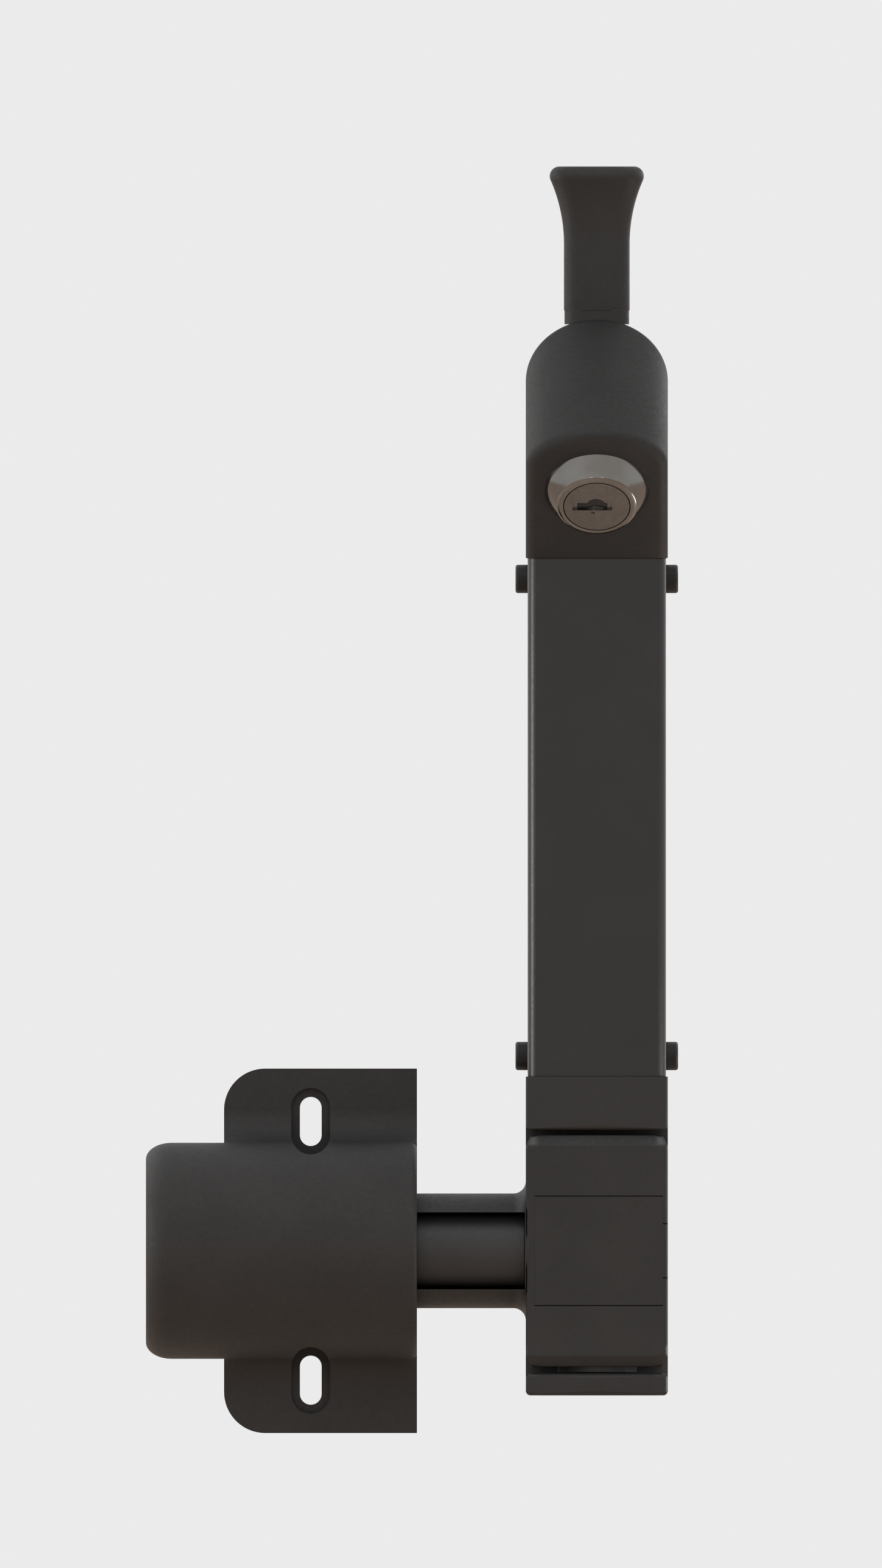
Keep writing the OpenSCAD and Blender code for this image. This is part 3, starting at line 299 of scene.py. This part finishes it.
def radius_in_lock(mat):
    """Distance from the lock's axis, in metres."""
    tree = mat.node_tree
    centre = (0, LOCK_Y * MM, LOCK_Z * MM)
    coord = tree.nodes.new("ShaderNodeTexCoord")
    turn = tree.nodes.new("ShaderNodeVectorRotate")
    turn.rotation_type = "X_AXIS"
    turn.inputs["Center"].default_value = centre
    turn.inputs["Angle"].default_value = FACE - math.pi
    tree.links.new(coord.outputs["Object"], turn.inputs["Vector"])
    from_centre = vector_of(mat, "SUBTRACT", turn.outputs["Vector"], centre)
    return vector_of(mat, "LENGTH", vector_of(mat, "MULTIPLY", from_centre, (1, 1, 0)))


# Powder coats, whose edges are eased by a radius in metres
EDGE, SHARP_EDGE, HEAD_EDGE = 0.0003, 0.0001, 0.00015
BLACK = (0.0115, 0.0108, 0.0104, 1), (0.0155, 0.0146, 0.014, 1)


def coating(name, colours, rough, spread, edge=EDGE):
    """A powder coat: colour that wanders a little, fine grain and softened edges."""
    mat = principled(name)
    wander_colour(mat, *colours, scale=60)
    wander_rough(mat, rough - spread, rough + spread, scale=900)
    ease_edges(mat, grain(mat, scale=2600, strength=0.35, height=0.00006), edge)
    return mat


def spine_coating():
    """The spine's coat, painted paler than the others and paler still where it shows in the lower gap, as
    painted light in its shade.
    """
    # Painted light: colours paler than the other black coats, standing in for light in the shaded gap
    colours = (0.028, 0.0275, 0.027, 1), (0.034, 0.0335, 0.033, 1)
    mat = coating("powder_coat_spine_painted_light", colours, rough=0.6, spread=0.05, edge=SHARP_EDGE)
    # Painted light: paler still low down, where the spine shows in the shaded lower gap
    painted_gap_light = ramp_mask(mat, place_of(mat)[2], start=-0.143, full=-0.145)
    masked(mat, "Base Color", painted_gap_light, (0.065, 0.065, 0.065, 1))
    return mat


def core_coating():
    """The coat of the arm's core, painted paler than the others and paler still towards its upper and lower
    edges: painted light where its slot shades it.
    """
    # Painted light: colours paler than the other black coats, standing in for light in the arm's slot
    colours = (0.019, 0.019, 0.0195, 1), (0.025, 0.025, 0.0255, 1)
    mat = coating("arm_core_coat_painted_light", colours, rough=0.5, spread=0.05)
    # Painted light: paler still towards the core's upper and lower edges, which its slot shades
    painted_edge_light = ramp_mask(mat, away_from(mat, place_of(mat)[2], ARM_Z * MM), start=0.006, full=0.0095)
    masked(mat, "Base Color", painted_edge_light, (0.05, 0.05, 0.051, 1))
    return mat


def head_coating():
    """The coat of the head and the foot, rounder and burnished at their outer corners."""
    burnished, extra_round = 0.2, 0.0011
    mat = coating("powder_coat_head", BLACK, rough=0.54, spread=0.06, edge=HEAD_EDGE)
    across, _, upright = place_of(mat)
    at_side = ramp_mask(mat, math_of(mat, "ABSOLUTE", across), start=0.0148, full=0.0172)
    at_end = ramp_mask(mat, away_from(mat, upright, ARM_Z * MM), start=0.0256, full=0.0272)
    corner = math_of(mat, "MULTIPLY", at_side, at_end)
    masked(mat, "Roughness", corner, burnished)
    bevel = next(node for node in mat.node_tree.nodes if node.type == "BEVEL")
    radius = math_of(mat, "MULTIPLY_ADD", corner, extra_round, HEAD_EDGE)
    mat.node_tree.links.new(radius, bevel.inputs["Radius"])
    return mat


coat = coating("powder_coat_black", BLACK, rough=0.46, spread=0.06)
tube_coat = coating("powder_coat_tube", ((0.0105, 0.0102, 0.0102, 1), (0.014, 0.0135, 0.0135, 1)),
                    rough=0.3, spread=0.03)
cap_coat = coating("powder_coat_cap", BLACK, rough=0.65, spread=0.05)
bracket_coat = coating("powder_coat_bracket", ((0.016, 0.0147, 0.0143, 1), (0.02, 0.0185, 0.018, 1)),
                       rough=0.64, spread=0.05)
knob_coat = coating("powder_coat_knob", ((0.0125, 0.0115, 0.011, 1), (0.0165, 0.0155, 0.015, 1)),
                    rough=0.6, spread=0.05, edge=SHARP_EDGE)
flange_coat = coating("blackened_flange", ((0.011, 0.0108, 0.0108, 1), (0.014, 0.0138, 0.0138, 1)),
                      rough=0.7, spread=0.05, edge=SHARP_EDGE)
head_coat = head_coating()


# Metals and moulded plastic
def screw_finish():
    """The black side screws."""
    mat = principled("screw_black")
    wander_colour(mat, (0.006, 0.006, 0.006, 1), (0.012, 0.011, 0.011, 1), scale=300)
    ease_edges(mat, grain(mat, scale=1500, strength=0.2, height=0.00003), EDGE)
    return mat


def polished_chrome():
    """Chrome on the lock's bezel."""
    mat = principled("chrome_polished", metallic=1.0)
    wander_colour(mat, (0.19, 0.18, 0.165, 1), (0.24, 0.23, 0.22, 1), scale=90)
    wander_rough(mat, 0.1, 0.17, scale=200)
    return mat


def satin_nickel():
    """Satin metal, with painted shade in the narrow joint round the lock's plug."""
    mat = principled("satin_nickel", metallic=1.0)
    wander_colour(mat, (0.18, 0.17, 0.16, 1), (0.205, 0.195, 0.185, 1), scale=500)
    wander_rough(mat, 0.25, 0.36, scale=700)
    grain(mat, scale=3000, strength=0.015, height=0.00001)
    # Painted shade: a dark ring where the narrow gap between the plug and the bezel lies in shade
    painted_joint_shade = ramp_mask(mat, away_from(mat, radius_in_lock(mat), PLUG_R * MM), start=0.0002, full=0.0001)
    masked(mat, "Base Color", painted_joint_shade, (0.012, 0.011, 0.01, 1))
    return mat


def shutter_finish():
    """Dark steel behind the key slot."""
    mat = principled("shutter_steel", rough=0.6)
    wander_colour(mat, (0.01, 0.0098, 0.01, 1), (0.015, 0.0148, 0.015, 1), scale=700)
    grain(mat, scale=3000, strength=0.1, height=0.00002)
    return mat


def zinc_steel():
    """Bright steel of the hidden rod, bolt, springs, nut and screws."""
    mat = principled("zinc_steel", metallic=1.0)
    wander_colour(mat, (0.48, 0.48, 0.5, 1), (0.62, 0.62, 0.63, 1), scale=180)
    wander_rough(mat, 0.25, 0.42, scale=500)
    grain(mat, scale=1800, strength=0.15, height=0.00002)
    return mat


def blackened_steel():
    """Dark steel of the mounting brackets, the pins and the set screws."""
    mat = principled("blackened_steel", metallic=0.5)
    wander_colour(mat, (0.022, 0.022, 0.024, 1), (0.042, 0.041, 0.043, 1), scale=220)
    wander_rough(mat, 0.46, 0.64, scale=500)
    grain(mat, scale=1500, strength=0.2, height=0.00003)
    return mat


def turned_brass():
    """Brass of the bolt's guide."""
    mat = principled("turned_brass", metallic=1.0)
    wander_colour(mat, (0.64, 0.45, 0.2, 1), (0.76, 0.56, 0.27, 1), scale=200)
    wander_rough(mat, 0.22, 0.38, scale=500)
    return mat


def moulded_plastic():
    """Black plastic of the magnet's carrier."""
    mat = principled("moulded_black")
    wander_colour(mat, (0.012, 0.012, 0.013, 1), (0.02, 0.02, 0.021, 1), scale=150)
    grain(mat, scale=1800, strength=0.25, height=0.00003)
    return mat


def nickel_plate():
    """Nickel on the magnet."""
    mat = principled("nickel_plate", metallic=1.0)
    wander_colour(mat, (0.56, 0.55, 0.52, 1), (0.68, 0.67, 0.65, 1), scale=150)
    wander_rough(mat, 0.12, 0.26, scale=300)
    return mat


slot_looks = {"powder_coat": coat, "screw_black": screw_finish(), "chrome": polished_chrome(),
              "lock_face": satin_nickel(), "steel": zinc_steel(), "dark_steel": blackened_steel(),
              "brass": turned_brass(), "moulded_black": moulded_plastic(), "magnet_plate": nickel_plate()}
own_looks = {"body_tube": tube_coat, "top_cap": cap_coat, "pull_knob": knob_coat, "neck_bush": knob_coat,
             "gate_bracket": bracket_coat, "arm_core": core_coating(), "back_spine": spine_coating(),
             "bore_plug": flange_coat, "striker_casting": head_coat, "front_cover": head_coat,
             "foot_plate": head_coat}
for part in frame["record"]["subparts"]:
    materials = nodes[part["node"]].data.materials
    materials.clear()
    materials.append(own_looks.get(part["node"], slot_looks[part["material_slot"]]))


# Floor: plain and pale, below the view, a little warm
def floor_plane():
    """The floor, one square face."""
    mesh = bpy.data.meshes.new("floor")
    corners = [(x * FLOOR_HALF, y * FLOOR_HALF, FLOOR_Z) for x, y in ((-1, -1), (1, -1), (1, 1), (-1, 1))]
    mesh.from_pydata(corners, [], [(0, 1, 2, 3)])
    mat = principled("floor_pale", rough=FLOOR_ROUGH)
    shader_of(mat).inputs["Base Color"].default_value = FLOOR_COLOUR
    mesh.materials.append(mat)
    return new_object("floor", mesh)


floor = floor_plane()


# Tools for the pieces. A form is a bmesh in millimetres, until it is made into an object in metres.
# Places closer than SAME are the same, and a face looks along an axis if its normal has ALONG of it
SAME, ALONG = 1e-4, 0.9
Y, Z = 1, 2


def shade(mesh, degrees):
    """Smooth shading, but for the edges that turn by more than this."""
    for face in mesh.polygons:
        face.use_smooth = True
    mesh.set_sharp_from_angle(angle=math.radians(degrees))


def object_of(form, name, material, degrees=30):
    """An object made of a form."""
    bmesh.ops.recalc_face_normals(form, faces=form.faces)
    bmesh.ops.scale(form, vec=(MM, MM, MM), verts=form.verts)
    mesh = bpy.data.meshes.new(name)
    form.to_mesh(mesh)
    form.free()
    shade(mesh, degrees)
    mesh.materials.append(material)
    return new_object(name, mesh)


def combine(obj, operation, other):
    """Applies a boolean with the other object, which is then removed."""
    change = obj.modifiers.new("combine", "BOOLEAN")
    change.operation = operation
    change.solver = "EXACT"
    change.object = other
    deps = bpy.context.evaluated_depsgraph_get()
    mesh = bpy.data.meshes.new_from_object(obj.evaluated_get(deps))
    obj.modifiers.clear()
    before = obj.data
    obj.data = mesh
    bpy.data.meshes.remove(before)
    bpy.data.objects.remove(other)


def cut(obj, form, name):
    """Cuts a form out of the object."""
    combine(obj, "DIFFERENCE", object_of(form, name, obj.data.materials[0]))


def round_where(form, test, width, segments):
    """Rounds every edge that passes the test."""
    edges = [edge for edge in form.edges if test(edge)]
    bmesh.ops.bevel(form, geom=edges, offset=width, offset_type="OFFSET", segments=segments,
                    profile=0.5, affect="EDGES", clamp_overlap=True)


def loft(levels):
    """A closed form through level outlines, each a list of X, Y and Z."""
    form = bmesh.new()
    rings = [[form.verts.new(place) for place in level] for level in levels]
    count = len(rings[0])
    for low, high in zip(rings, rings[1:]):
        for k in range(count):
            n = (k + 1) % count
            form.faces.new((low[k], low[n], high[n], high[k]))
    form.faces.new(rings[0][::-1])
    form.faces.new(rings[-1])
    return form


def cylinder(radius, low, high, segments=96):
    """A closed cylinder along Z."""
    turns = [2 * math.pi * k / segments for k in range(segments)]
    circle = [(radius * math.cos(turn), radius * math.sin(turn)) for turn in turns]
    return loft([[(x, y, z) for x, y in circle] for z in (low, high)])


def rounded_outline(half_w, half_d, radius, steps):
    """The outline of a rectangle with round corners, about its middle."""
    outline = []
    for side, depth, start in ((1, 1, 0), (-1, 1, 90), (-1, -1, 180), (1, -1, 270)):
        for j in range(steps + 1):
            turn = math.radians(start + 90 * j / steps)
            outline.append(((half_w - radius) * side + radius * math.cos(turn),
                            (half_d - radius) * depth + radius * math.sin(turn)))
    return outline


def rounded_block(half_w, front, back, low, high, radius):
    """A closed block along Z with round corners, from front to back and as far to both sides."""
    outline = rounded_outline(half_w, (back - front) / 2, radius, steps=8)
    middle = (back + front) / 2
    return loft([[(x, y + middle, z) for x, y in outline] for z in (low, high)])


def moved(form, matrix):
    """The form, moved by a matrix."""
    bmesh.ops.transform(form, verts=form.verts, matrix=matrix)
    return form


def at_lock(form):
    """Moves a form from the lock's own frame to its place in the lock face."""
    return moved(form, Matrix.Translation((0, LOCK_Y, LOCK_Z)) @ Matrix.Rotation(math.pi - FACE, 4, "X"))


def at_rod(form):
    """Moves a form to the pull rod's axis."""
    return moved(form, Matrix.Translation((0, ROD_Y, 0)))


# The cap, with its rounded beak, eased edges and hollow
CAP_WALL, CAP_FLOOR, CAP_SHARP = 2.6, 72.3, 24
ARCH_STEPS, HOLLOW_STEPS = 64, 40
BEAK_ROUND, CREST_ROUND, BACK_ROUND, FOOT_ROUND, CREST_START = 2.6, 1.0, 0.6, 0.35, 1
BOSS = {"radius": 11.5, "low": 121.2, "high": 140}
NECK_BORE = {"radius": 6.55, "low": 110, "high": 150}
ROD_BORE = {"radius": 5.0, "low": 50, "high": 80}
BARREL_BORE = {"radius": 11.05, "low": -3.6, "high": 3}
SPIGOT = {"half_w": 16.25, "front": -34.25, "back": -14.55, "low": 55.3, "high": 70, "radius": 1.4}
NECK_POCKET = {"half_w": 8.7, "front": -32.3, "back": -16.5, "low": 131.9, "high": 150, "radius": 4.0}


def cap_form(inset, low, steps):
    """The cap's closed form: an arch that runs level, then down the beak to the lock face."""
    half, rise, crest = BLOCK_W / 2 - inset, CROWN_H - inset, CAP_TOP - inset
    sine, cosine = math.sin(FACE), math.cos(FACE)

    def to_face(height, slope):
        """Y and Z where a line that falls by this slope from the crest's edge meets the lock face."""
        y = (inset + sine * LOCK_Y - cosine * (height - slope * CREST_Y - LOCK_Z)) / (sine + cosine * slope)
        return y, height - slope * (CREST_Y - y)

    form = bmesh.new()
    rear, bend, nose = [], [], []
    for i in range(steps + 1):
        turn = math.pi * i / steps
        x, z = half * math.cos(turn), crest - rise + rise * math.sin(turn)
        rear.append(form.verts.new((x, BACK - inset, z)))
        bend.append(form.verts.new((x, CREST_Y, z)))
        nose.append(form.verts.new((x, *to_face(z, math.tan(BEAK)))))
    y_low, _ = to_face(low, 0)
    back = [form.verts.new((x, BACK - inset, low)) for x in (half, -half)]
    front = [form.verts.new((x, y_low, low)) for x in (half, -half)]
    for i in range(steps):
        for behind, ahead in ((rear, bend), (bend, nose)):
            form.faces.new((behind[i], ahead[i], ahead[i + 1], behind[i + 1]))
    form.faces.new(rear + [back[1], back[0]])
    form.faces.new(nose[::-1] + [front[0], front[1]])
    form.faces.new((nose[0], bend[0], rear[0], back[0], front[0]))
    form.faces.new((nose[-1], front[1], back[1], rear[-1], bend[-1]))
    form.faces.new((back[0], back[1], front[1], front[0]))
    bmesh.ops.recalc_face_normals(form, faces=form.faces)
    return form


def on_face(edge):
    """Whether an edge lies in the lock face."""
    return all(abs((vert.co.y - LOCK_Y) * math.sin(FACE) + (vert.co.z - LOCK_Z) * math.cos(FACE)) < SAME
               for vert in edge.verts)


def lies_at(edge, axis, value):
    """Whether an edge has this value on this axis."""
    return all(abs(vert.co[axis] - value) < SAME for vert in edge.verts)


def reaches_over(edge, height):
    """Whether an edge reaches above a height."""
    return max(vert.co.z for vert in edge.verts) > height


def bounds(edge, axis):
    """Whether an edge bounds the faces that look along this axis."""
    return any(abs(face.normal[axis]) < ALONG for face in edge.link_faces)


def at_beak(edge):
    """Round the lock face, but for the cap's foot."""
    return on_face(edge) and reaches_over(edge, TUBE_TOP + SAME)


def at_crest(edge):
    """Where the arch's round part turns down to the beak."""
    return lies_at(edge, Y, CREST_Y) and reaches_over(edge, CAP_TOP - CROWN_H + CREST_START)


def at_back(edge):
    """Round the cap's back."""
    return lies_at(edge, Y, BACK) and bounds(edge, Y)


def at_foot(edge):
    """Round the cap's foot."""
    return lies_at(edge, Z, TUBE_TOP) and bounds(edge, Z)


def build_cap():
    """The cap's shell, with its spigot, its hollow and the bores through it."""
    form = cap_form(0, TUBE_TOP, ARCH_STEPS)
    round_where(form, at_beak, BEAK_ROUND, segments=7)
    round_where(form, at_crest, CREST_ROUND, segments=4)
    round_where(form, at_back, BACK_ROUND, segments=3)
    round_where(form, at_foot, FOOT_ROUND, segments=3)
    shell = object_of(form, "cap_shell", cap_coat, CAP_SHARP)
    combine(shell, "UNION", object_of(rounded_block(**SPIGOT), "spigot", cap_coat))
    hollow = object_of(cap_form(CAP_WALL, CAP_FLOOR, HOLLOW_STEPS), "hollow", cap_coat)
    cut(hollow, at_rod(cylinder(**BOSS)), "boss")
    combine(shell, "DIFFERENCE", hollow)
    cut(shell, at_rod(cylinder(**NECK_BORE)), "neck_bore")
    cut(shell, rounded_block(**NECK_POCKET), "neck_pocket")
    cut(shell, at_rod(cylinder(**ROD_BORE)), "rod_bore")
    cut(shell, at_lock(cylinder(**BARREL_BORE)), "barrel_bore")
    shade(shell.data, CAP_SHARP)
    return shell


cap = build_cap()
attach(cap, "latch_body")
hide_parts("top_cap")

# The pull knob, a lofted block that flares to a rounded rim
KNOB_W, KNOB_D, KNOB_H, KNOB_Z, KNOB_SHARP = 17.6, 16.0, 38.525, 135.605, 40
RIM_W, RIM_R, SHANK_H, SHANK_R, FOOT_EASE, LEAST_FLAT = 25.2, 2.6, 17.8, 4.0, 0.05, 0.5
RIM_START = math.radians(-24)
SHANK_RINGS = (4, 9, 14)
FOOT_STEPS, FLARE_STEPS, RIM_STEPS = 4, 24, 14
ROD_HOLE = {"radius": 4.05, "low": 130, "high": 155.63}
SCREW_HOLE = {"radius": 2.05, "low": -3.5, "high": 3, "segments": 48}
SCREW_HOLE_Z, SCREW_HOLE_IN = 10, 0.4


def knob_outline(grow):
    """One level's outline, grown by an amount on every side."""
    half_d = KNOB_D / 2 + grow
    corner = min(SHANK_R + grow / 2, half_d - LEAST_FLAT)
    return rounded_outline(KNOB_W / 2 + grow, half_d, corner, steps=10)


def knob_levels():
    """Pairs of growth and height, from the foot up to the top's middle."""
    rim = (RIM_W - KNOB_W) / 2 - RIM_R
    flare = rim + RIM_R * math.cos(RIM_START)
    rise = KNOB_H - RIM_R + RIM_R * math.sin(RIM_START) - SHANK_H
    arc = (rise * rise + flare * flare) / (2 * flare)
    levels = []
    for i in range(FOOT_STEPS + 1):
        turn = math.pi / 2 * i / FOOT_STEPS
        levels.append((FOOT_EASE * math.sin(turn) - FOOT_EASE, FOOT_EASE - FOOT_EASE * math.cos(turn)))
    levels += [(0, height) for height in (*SHANK_RINGS, SHANK_H)]
    for i in range(1, FLARE_STEPS + 1):
        height = rise * i / FLARE_STEPS
        levels.append((arc - math.sqrt(arc * arc - height * height), SHANK_H + height))
    for i in range(1, RIM_STEPS + 1):
        turn = RIM_START + (math.pi / 2 - RIM_START) * i / RIM_STEPS
        levels.append((rim + RIM_R * math.cos(turn), KNOB_H - RIM_R + RIM_R * math.sin(turn)))
    return levels


def build_knob():
    """The knob's grip, with the rod's hole and its set screw's."""
    form = loft([[(x, y, z + KNOB_Z) for x, y in knob_outline(grow)] for grow, z in knob_levels()])
    grip = object_of(at_rod(form), "knob_grip", knob_coat, KNOB_SHARP)
    cut(grip, at_rod(cylinder(**ROD_HOLE)), "knob_bore")
    screw_place = Matrix.Translation((0, ROD_Y + KNOB_D / 2 - SCREW_HOLE_IN, KNOB_Z + SCREW_HOLE_Z))
    to_back = Matrix.Rotation(-math.pi / 2, 4, "X")
    cut(grip, moved(cylinder(**SCREW_HOLE), screw_place @ to_back), "knob_screw_hole")
    shade(grip.data, KNOB_SHARP)
    return grip


knob = build_knob()
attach(knob, "knob_and_magnet")
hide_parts("pull_knob")

# The dust shutter behind the key slot: a domed leaf in the slot's own outline, creased where the key goes in
KEY_W, KEY_H, KEY_OFF, ARCH_OFF, ARCH_RISE = 8.0, 2.8, 1.2, 0.2, 0.54
LEAF_FRONT, LEAF_BACK, LEAF_GAP, LEAF_DOME, LEAF_CREASE = 0.85, 1.4, 0.03, 0.22, 0.12
LEAF_COLUMNS, LEAF_ROWS = 48, 8


def slot_edges(x):
    """The key slot's lower and upper edge at one place across it."""
    rise, crown, belly = ARCH_RISE * KEY_H, KEY_W / 3, KEY_W / 2
    off = x + ARCH_OFF
    low, high = -KEY_H / 2, KEY_H / 2
    if abs(off) < crown:
        high = max(high, KEY_H / 2 + rise - crown + math.sqrt(crown * crown - off * off))
    if abs(off) < belly:
        low = max(low, rise / 2 - KEY_H / 2 - belly + math.sqrt(belly * belly - off * off))
    return low + LEAF_GAP, high - LEAF_GAP


def leaf_sheet(form, depth):
    """A grid of corners over the slot's outline, this deep under the plug's face."""
    left, right = -KEY_OFF - KEY_W / 2 + LEAF_GAP, -KEY_OFF + KEY_W / 2 - LEAF_GAP
    sheet = []
    for i in range(LEAF_COLUMNS + 1):
        x = left + (right - left) * i / LEAF_COLUMNS
        low, high = slot_edges(x)
        column = []
        for j in range(LEAF_ROWS + 1):
            up = j / LEAF_ROWS
            dome = LEAF_DOME * (1 - (2 * up - 1) ** 2) * math.sin(math.pi * i / LEAF_COLUMNS) ** 0.5
            crease = LEAF_CREASE if j == LEAF_ROWS // 2 else 0.0
            column.append(form.verts.new((x, low + (high - low) * up, LOCK_OUT - depth + dome - crease)))
        sheet.append(column)
    return sheet


def build_shutter():
    """The leaf, closed round its edge."""
    form = bmesh.new()
    top, under = [leaf_sheet(form, depth) for depth in (LEAF_FRONT, LEAF_BACK)]
    for sheet in (top, under):
        for i in range(LEAF_COLUMNS):
            for j in range(LEAF_ROWS):
                form.faces.new((sheet[i][j], sheet[i + 1][j], sheet[i + 1][j + 1], sheet[i][j + 1]))
    for i in range(LEAF_COLUMNS):
        for j in (0, LEAF_ROWS):
            form.faces.new((top[i][j], top[i + 1][j], under[i + 1][j], under[i][j]))
    for j in range(LEAF_ROWS):
        for i in (0, LEAF_COLUMNS):
            form.faces.new((top[i][j], top[i][j + 1], under[i][j + 1], under[i][j]))
    return object_of(at_lock(form), "key_shutter", shutter_finish())


shutter = build_shutter()
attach(shutter, "lock_core")

# The left lamp is flagged off the chrome bezel, which would mirror it as one hard patch
lit_from_left = bpy.data.collections.new("lit_from_left")
for obj in list(nodes.values()) + [cap, knob, shutter, floor]:
    if obj is not nodes["lock_cylinder"]:
        lit_from_left.objects.link(obj)
left_softbox.light_linking.receiver_collection = lit_from_left
